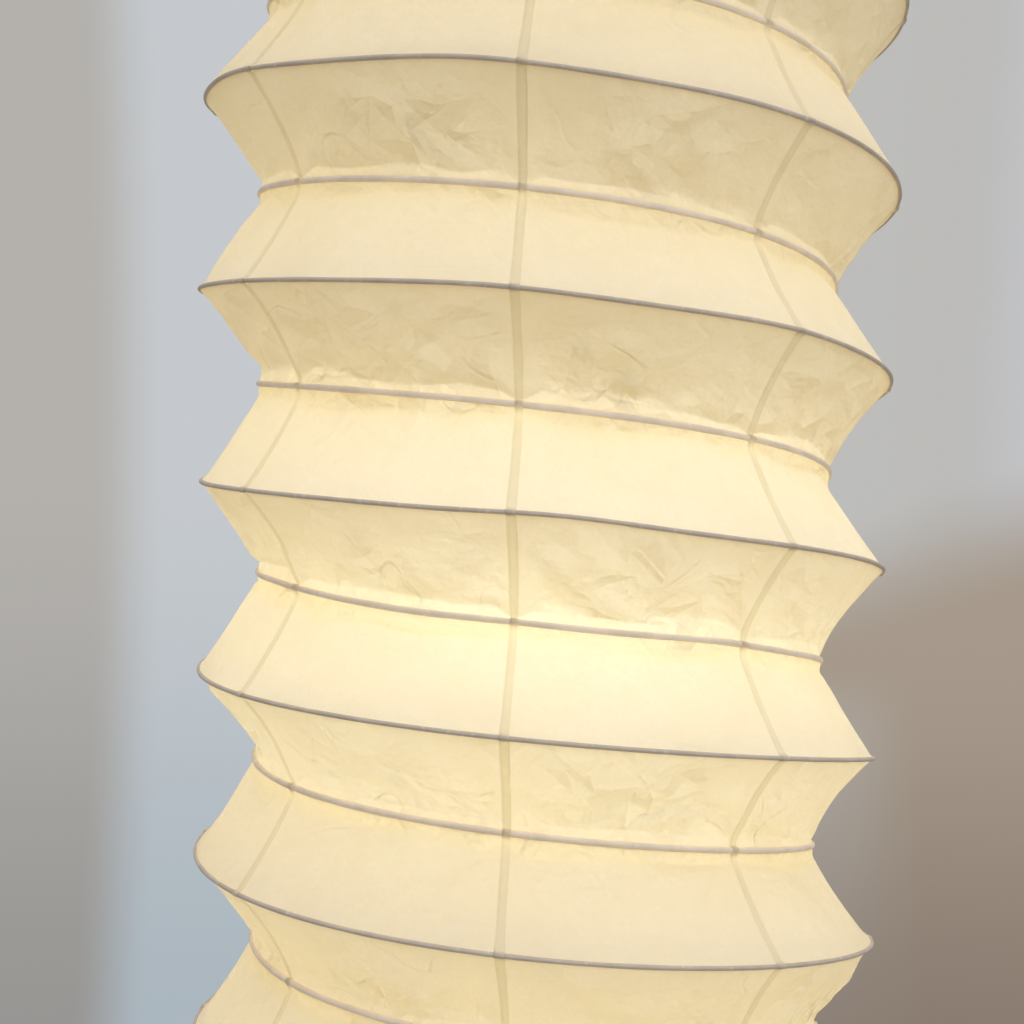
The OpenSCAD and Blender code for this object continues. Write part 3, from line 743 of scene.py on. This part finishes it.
def soft_band(value, start, full, past, end):
    falling = w.ramp(value, (past, end), (1.0, 0.0), "SMOOTHSTEP")
    return w.math("MULTIPLY", soft_step(value, start, full), falling)


wall = w.blend(soft_step(to_right, 0.20, 0.28), rgb(0.456, 0.440, 0.418), rgb(0.540, 0.545, 0.560))
middle = soft_band(to_right, -0.228, -0.188, 0.20, 0.28)
right_half = soft_step(to_right, 0.0, 0.1)
wall = w.blend(middle, wall, w.blend(right_half, rgb(0.558, 0.584, 0.610), rgb(0.512, 0.508, 0.495)))
low = w.ramp(height, (0.06, -0.28), (0.0, 1.0), "SMOOTHSTEP")
wall = w.blend(low, wall, w.blend(middle, rgb(0.308, 0.300, 0.290), rgb(0.400, 0.465, 0.515)))
# Painted shadow on the backdrop: a soft brown patch low on the right, darker still lowest down.
at_right = soft_step(to_right, 0.08, 0.15)
below = w.math("SUBTRACT", w.math("SUBTRACT", w.math("MULTIPLY", to_right, 0.35), 0.045), height)
brown = w.math("MULTIPLY", soft_step(below, -0.015, 0.065), at_right)
near = w.math("MULTIPLY", soft_step(height, -0.05, -0.10), soft_step(to_right, 0.225, 0.165))
patch = w.blend(w.math("MULTIPLY", near, 0.75), rgb(0.385, 0.322, 0.262), rgb(0.465, 0.450, 0.420))
wall = w.blend(brown, wall, patch)
dusk = w.math("MULTIPLY", soft_step(height, -0.03, -0.27), at_right)
wall = w.blend(w.math("MULTIPLY", dusk, 0.85), wall, rgb(0.225, 0.176, 0.140))
wall = w.blend(soft_step(ahead_share, 0.90, 0.60), wall, rgb(0.48, 0.48, 0.48))
seen = w.add("Background", Color=wall)
sky = w.blend(w.ramp(height, (0.0, 1.0), (0.0, 1.0)), rgb(0.34, 0.34, 0.34), rgb(1.12, 1.15, 1.26))
lit = w.add("Background", Color=sky)
rays = w.add("LightPath")
shown = w.math("MAXIMUM", rays.outputs["Is Camera Ray"], rays.outputs["Is Glossy Ray"])
w.put(w.output.inputs["Surface"], w.mix_shaders(shown, lit.outputs[0], seen.outputs[0]))
print("background from", w.tree.name, "nodes:", len(w.tree.nodes))

# %% [markdown]
# ## Light
# The room's light comes mostly from above: an even sky that is brighter overhead, and one wide cool
# window to the right of the camera. The bulbs' own light reaches the nearest paper directly, and
# the rest of the shade by bouncing inside it, which a row of wide, yellower lamps stands for.


# %% Lamps
def lamp(name, kind, place, power, colour, **settings):
    data = bpy.data.lights.new(name, kind)
    data.energy, data.color = power, colour
    for key, value in settings.items():
        setattr(data, key, value)
    made = add_to_scene(name, data)
    made.location = place
    return made


def inner_lamp(name, place, power, colour, **settings):
    """A lamp inside the shade, which lights the paper and is never seen itself."""
    light = lamp(name, "POINT", place, power, colour, **settings)
    light.visible_camera = False
    light.visible_glossy = False


window = lamp("window", "AREA", (1.7, -2.7, 2.8), 27, (0.93, 0.97, 1.0), size=2.4)
window.rotation_euler = (Vector((0, 0, 1.3)) - window.location).to_track_quat("-Z", "Y").to_euler()
BULBS = {"lower": (0.6613, 0.32), "upper": (1.3063, 0.40)}
for name, (height_now, power) in BULBS.items():
    inner_lamp(f"{name}_bulb_light", (0, -0.05, height_now), power, (0.87, 1.0, 1.22),
               shadow_soft_size=0.034, use_soft_falloff=False)
for step, height_now in enumerate(np.linspace(0.35, 1.7, 6)):
    inner_lamp(f"bounced_light_{step}", (0, 0, height_now), 0.71, (0.97, 0.89, 0.64),
               shadow_soft_size=0.09)
bpy.context.scene.view_settings.view_transform = "Standard"
